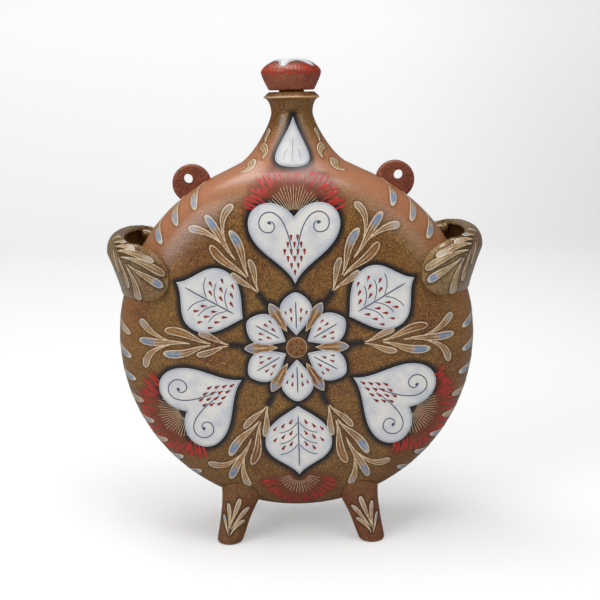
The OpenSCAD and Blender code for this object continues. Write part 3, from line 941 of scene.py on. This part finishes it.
# The neck: thrown, set on the shoulders and smoothed out over them as a wide skirt, with
# a sharp lip. A white drop is painted on its front and small leaves climb its sides.
neck_r = 14.3
narrow_z = 303.0
skirt_w, skirt_d = 50.0, 28.0
lip_r, lip_rise, lip_bevel, lip_top_r = 19.3, 10.0, 4.0, 15.4
seat_r, seat_end_r, seat_end_z = 8.68, 7.74, 296.0
mouth_r, crown_z = 17.0, 273.0


def skirt_point(share, a, lift=0.1):
    """A place on the skirt, from the narrowest ring at 0 to the shoulders at 1."""
    x, y = skirt_w * cos(a), skirt_d * sin(a)
    r = body_r * (1 - (abs(y) / half_t) ** belt_power) ** (1 / face_power)
    foot_z = centre_z + sqrt(r * r - x * x) + lift
    wide = 0.7 * share ** 1.4 + 0.3 * share ** 8
    deep = share ** 1.4
    return Vector(((neck_r + (skirt_w - neck_r) * wide) * cos(a),
        (neck_r + (skirt_d - neck_r) * deep) * sin(a), narrow_z + share * (foot_z - narrow_z)))


def shoulder_point(x, y, lift):
    """The body's top surface above or below a place on the ground plan."""
    r = body_r * (1 - (abs(y) / half_t) ** belt_power) ** (1 / face_power)
    return Vector((x, y, centre_z + sqrt(r * r - x * x) + lift))


def blend_point(share, a, lift):
    """The scraped fillet between skirt and shoulders, from the skirt at 0 outwards."""
    start, corner = skirt_point(blend_start, a), skirt_point(1.0, a, 0.0)
    end = shoulder_point((skirt_w + blend_w) * cos(a), (skirt_d + blend_d) * sin(a), lift)
    return start * (1 - share) ** 2 + corner * 2 * share * (1 - share) + end * share ** 2


neck_sides = 160
skirt_rows = 44
blend_start = 0.84
blend_w, blend_d = 8.0, 6.5
rings = [("blend", 1.0, -2.0)] + [("blend", 1 - i / 14, 0.0) for i in range(14)]
rings += [("skirt", blend_start * (1 - i / skirt_rows), 0.1) for i in range(skirt_rows)]
rings += [("round", neck_r + (lip_r - neck_r) * (1 - cos(radians(a))),
    narrow_z + lip_rise * sin(radians(a))) for a in range(0, 91, 9)]
rings += [("round", r, z) for r, z in ((lip_r + 0.05, 313.3), (lip_r - 0.3, 313.9),
    (lip_top_r + 0.7, 316.7), (lip_top_r, 317.0), (lip_top_r - 1.2, 317.0), (seat_r + 0.5, 317.0),
    (seat_r, 316.5), (seat_end_r, seat_end_z), (mouth_r, crown_z - 2.5), (mouth_r, 262.0))]
bm = bmesh.new()
for v in bmesh.ops.create_grid(bm, x_segments=len(rings) - 1, y_segments=neck_sides,
        size=0.5)["verts"]:
    kind, one, two = rings[round((v.co.x + 0.5) * (len(rings) - 1))]
    a = 2 * pi * round((v.co.y + 0.5) * neck_sides) / neck_sides
    v.co = {"skirt": skirt_point, "blend": blend_point}.get(kind,
        lambda one, a, two: Vector((one * cos(a), one * sin(a), two)))(one, a, two) * MM
bmesh.ops.remove_doubles(bm, verts=bm.verts, dist=1e-6)
bmesh.ops.recalc_face_normals(bm, faces=bm.faces)
neck = add_object("neck_thrown", smooth_mesh(bm, "neck_thrown"), brown_glaze)
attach(neck, "flask")
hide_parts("neck")

shoulder = surface_of(neck)
drop_paint, drop_lines, neck_leaves = new_paint(), new_paint(), new_paint()
drop_line = [(293, 114), (293, 131), (292.5, 149), (292, 167)]


def pointed_drop(u):
    """A long point that swells to a round end."""
    return max(0.0, u ** 1.25 * 1.22 * sqrt(max(0.0, 1 - u ** 5)))


drop_border = []
for flip_y in (1, -1):
    place, length = along_surface(shoulder, drop_line, 1, flip_y)
    border = stroke(drop_paint, [(length * i / 3, 0) for i in range(4)], 15.8, pointed_drop, place,
        0.06, 0.4, 1.4, 0.0, 0.0, 50, 30)
    drop_border += [place(q.x, q.y, 0) for q in border]
    for line, half_width in (([(17, 0), (24, 0.2), (30, -0.2), (length - 3, 0)], 0.3),
            ([(24, -3.0), (26, -4.8), (29, -6), (33, -5.6)], 0.24),
            ([(24, 3.0), (26, 4.8), (29, 6), (33, 5.6)], 0.24)):
        stroke(drop_lines, line, half_width, thread, place, 0.40, 0.12, 0.3, long=20, wide=2)
neck_leaf_border = []
for pixels, half_width, tone in (
        ([(265, 143), (265.5, 138), (266.5, 133), (270, 129)], 3.3, 0.3),
        ([(262, 159), (267, 154), (267, 147), (261, 146)], 4.0, 0.2),
        ([(240, 172), (247, 172), (254, 167), (251, 160)], 4.4, 0.3)):
    neck_leaf_border += leaf_on(neck_leaves, shoulder, pixels, half_width, tone, everywhere)
finish_paint(drop_paint, "neck_white_drop", white_slip)
finish_paint(drop_lines, "neck_drop_lines", blue_ink)
finish_paint(neck_leaves, "neck_leaves", pale_leaf)
ink_piece(neck, near(drop_border + deep), near(neck_leaf_border), trees[2])

# Four peg feet, pulled by hand and pressed on. Each has a spray of leaves on its outer side.
foot_bm = clay_copy(["front_right_foot"], 0.7, 8, 0.3)
foot_mesh = smooth_mesh(foot_bm, "foot")
foot_glaze = glaze_material("foot_glaze", (linear(114, 74, 39), clay_light, clay_dark,
    linear(120, 62, 36), linear(150, 108, 74)), 0.5, 1.0, 0.12)
first_foot = None
for name, flip_x, flip_y in (("front_right_foot", 1, 1), ("front_left_foot", -1, 1),
        ("back_right_foot", 1, -1), ("back_left_foot", -1, -1)):
    bm = bmesh.new()
    bm.from_mesh(foot_mesh)
    bmesh.ops.scale(bm, vec=(flip_x, flip_y, 1), verts=bm.verts)
    if flip_x * flip_y < 0:
        bmesh.ops.reverse_faces(bm, faces=bm.faces)
    foot = add_object(name + "_pulled", smooth_mesh(bm, name + "_pulled"), foot_glaze)
    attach(foot, "flask")
    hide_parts(name)
    first_foot = first_foot or foot
peg = surface_of(first_foot)
foot_leaves = new_paint()
foot_ink = []
for pixels, half_width, tone in (
        ([(372, 533), (368, 526), (362, 520), (356, 518)], 2.2, 0.5),
        ([(371, 527), (364, 519), (358, 510), (351, 505)], 2.6, 0.6),
        ([(372, 526), (368, 514), (363, 506), (360, 496)], 2.6, 0.5),
        ([(373, 529), (371, 518), (371, 509), (372, 500)], 2.5, 0.6),
        ([(373, 533), (375, 525), (376, 518), (377, 511)], 2.0, 0.75)):
    foot_ink += leaf_on(foot_leaves, peg, pixels, half_width, tone, everywhere, long=24, wide=10)
finish_paint(foot_leaves, "foot_leaves", pale_leaf)
foot_tree = near(foot_ink)
for name in ("front_right_foot", "front_left_foot", "back_right_foot", "back_left_foot"):
    ink_round(bpy.data.objects[name + "_pulled"], foot_tree, 2.4, 0.7)

# Two pierced lugs for a carrying cord, cut as discs from rolled clay, stuck on with a ledge
# of slip and brushed red-brown, with short strokes round the hole.
lug_glaze = glaze_material("lug_glaze", (linear(138, 74, 48), linear(180, 118, 80),
    linear(76, 34, 22), linear(120, 54, 34), linear(190, 140, 108)), 0.55, 0.9, 0.25)
rust_slip = plain_slip("rust_slip", linear(104, 38, 26), linear(84, 34, 24))
lug_strokes = new_paint()
lug_x, lug_reach, lug_hole_out, lug_half_t = 71.0, 129.8, 4.2, 3.25
lug_lean = asin(lug_x / lug_reach)
hole_x = (lug_reach + lug_hole_out) * sin(lug_lean)
hole_z = centre_z + (lug_reach + lug_hole_out) * cos(lug_lean)
disc_x, disc_z = lug_x, centre_z + lug_reach * cos(lug_lean)
for flip_x in (-1, 1):
    for side in (-1, 1):
        def lug_place(x, y, lift):
            return Vector((flip_x * x, side * (lug_half_t + lift), y)) * MM
        for j in range(15):
            a = 2 * pi * j / 15 + 0.1
            end = Vector((disc_x + 11.2 * sin(a), disc_z + 11.2 * cos(a)))
            start = Vector((hole_x, hole_z)).lerp(end, 0.5)
            if (start - Vector((hole_x, hole_z))).length > 3.9 and (
                    hypot(end.x, end.y - centre_z) > body_r + 3.5):
                line = [start.lerp(end, i / 3) for i in range(4)]
                stroke(lug_strokes, line, 0.75, dash, lug_place, 0.02, 0.2, 0.5, long=12, wide=4)
finish_paint(lug_strokes, "lug_strokes", rust_slip)
for name in ("left_cord_lug", "right_cord_lug"):
    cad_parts[name].data.materials.clear()
    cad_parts[name].data.materials.append(lug_glaze)

# The stopper: a thrown knob with a white star on its flat top and red strokes on its upper
# slope, glued on a tapered cork.
knob_glaze = glaze_material("knob_glaze", (linear(148, 79, 46), linear(176, 122, 78),
    linear(72, 34, 22), linear(136, 60, 40), linear(180, 120, 90)), 0.6, 0.9, 0.2)
knob_z = 318.2
knob_half = [(0, 20.5), (4, 20.5), (9, 20.6), (11.4, 19.8), (14.6, 18.2), (19.6, 16.0),
    (20.7, 12.6), (21.0, 9.8), (18.2, 5.2), (16.0, 0.5)]
knob_section = [bezier(knob_half, i / 60)[0] for i in range(61)]
knob_section += [Vector(p) for p in ((15.3, 0.0), (8.8, 0.0), (8.7, 5.9), (0, 5.9))]
knob_sides = 120
bm = bmesh.new()
last = len(knob_section) - 1
for v in bmesh.ops.create_grid(bm, x_segments=last, y_segments=knob_sides, size=0.5)["verts"]:
    r, z = knob_section[round((v.co.x + 0.5) * last)]
    a = 2 * pi * round((v.co.y + 0.5) * knob_sides) / knob_sides
    v.co = Vector((r * cos(a), r * sin(a), knob_z + z)) * MM
bmesh.ops.remove_doubles(bm, verts=bm.verts, dist=1e-6)
bmesh.ops.recalc_face_normals(bm, faces=bm.faces)
for v in bm.verts:
    v.co += Vector((v.co.x, v.co.y, 0)) * (0.012 * noise.noise(v.co * 60) - 0.008)
knob_piece = add_object("stopper_knob_thrown", smooth_mesh(bm, "stopper_knob_thrown"), knob_glaze)
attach(knob_piece, "stopper")
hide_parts("stopper_knob")
knob = surface_of(knob_piece)


knob_runs = [0.0]
for before, here in zip(knob_section[:60], knob_section[1:61]):
    knob_runs.append(knob_runs[-1] + (here - before).length)


def knob_place(x, y, lift):
    """Lays paint on the knob, as far down its side as the paint is from the middle of its top."""
    out = min(hypot(x, y), knob_runs[-1] * 0.9999)
    k = max(i for i in range(60) if knob_runs[i] <= out)
    share = (out - knob_runs[k]) / (knob_runs[k + 1] - knob_runs[k])
    r, z = knob_section[k].lerp(knob_section[k + 1], share)
    reach = r / max(hypot(x, y), 1e-6)
    spot, normal = knob.find_nearest(Vector((x * reach, -y * reach, knob_z + z)) * MM)[:2]
    return spot + normal * (lift * MM)


star, knob_red, knob_dots = new_paint(), new_paint(), new_paint()
star_points = 5
star_turn = radians(-18)


def star_reach(t):
    """How far the star reaches at an angle from the front: its points, and the dips between."""
    wave = cos(star_points * (t - star_turn))
    return 14.2 + 6.0 * max(0.0, wave) ** 1.3 - 1.4 * max(0.0, -wave)


star_line = [Vector((sin(t), cos(t))) * star_reach(t) for t in (2 * pi * i / 160 for i in range(160))]
bloom(star, star_line, Vector((0, 0)), knob_place, 0.05, 0.4, 1.2, 0.0, 16)
for j in range(star_points):
    a = star_turn + 2 * pi * (j + 0.5) / star_points
    stroke(knob_dots, [(sin(a) * d, cos(a) * d) for d in (12.2, 13.6, 15.0, 16.4)], 1.5, almond,
        knob_place, 0.1, 0.25, 0.5, long=8, wide=4)
rng = random.Random(5)
for j in range(46):
    a = 2 * pi * (j + rng.uniform(0.3, 0.7)) / 46
    start = star_reach(a) + 0.6
    for low, high, tone in ((start, 23.0, 0.4), (max(start, 19.5), 27.0, 0.95)):
        high *= rng.uniform(0.96, 1.0)
        stroke(knob_red, [(sin(a) * d, cos(a) * d) for d in (low + (high - low) * i / 3
            for i in range(4))], rng.uniform(1.4, 2.0), dash, knob_place, 0.02 * rng.random(), 0.2,
            0.7, tone=tone * rng.uniform(0.7, 1.1), long=10, wide=4)
finish_paint(star, "knob_white_star", white_slip, "stopper")
finish_paint(knob_red, "knob_red_strokes", red_slip, "stopper")
finish_paint(knob_dots, "knob_dark_tips", plain_slip("dark_ink", linear(40, 40, 48),
    linear(60, 60, 66)), "stopper")

cork, tree = new_material("cork")
cork_place = node(tree, "TexCoord").outputs["Object"]
grains = node(tree, "TexVoronoi", {"Vector": cork_place, "Scale": 650.0}).outputs
pores = node(tree, "TexNoise", {"Vector": cork_place, "Scale": 420.0, "Detail": 3.0}).outputs[0]
cork_colour = mix(tree, remap(tree, grains["Distance"], 0.1, 0.6), linear(186, 142, 96),
    linear(150, 104, 62))
cork_colour = mix(tree, remap(tree, pores, 0.62, 0.70), cork_colour, linear(70, 44, 28))
satin(tree, cork_colour, remap(tree, pores, 0.3, 0.7, 0.7, 0.85, "LINEAR"), pores, 0.0003, 0.0)
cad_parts["stopper_cork"].data.materials.clear()
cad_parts["stopper_cork"].data.materials.append(cork)
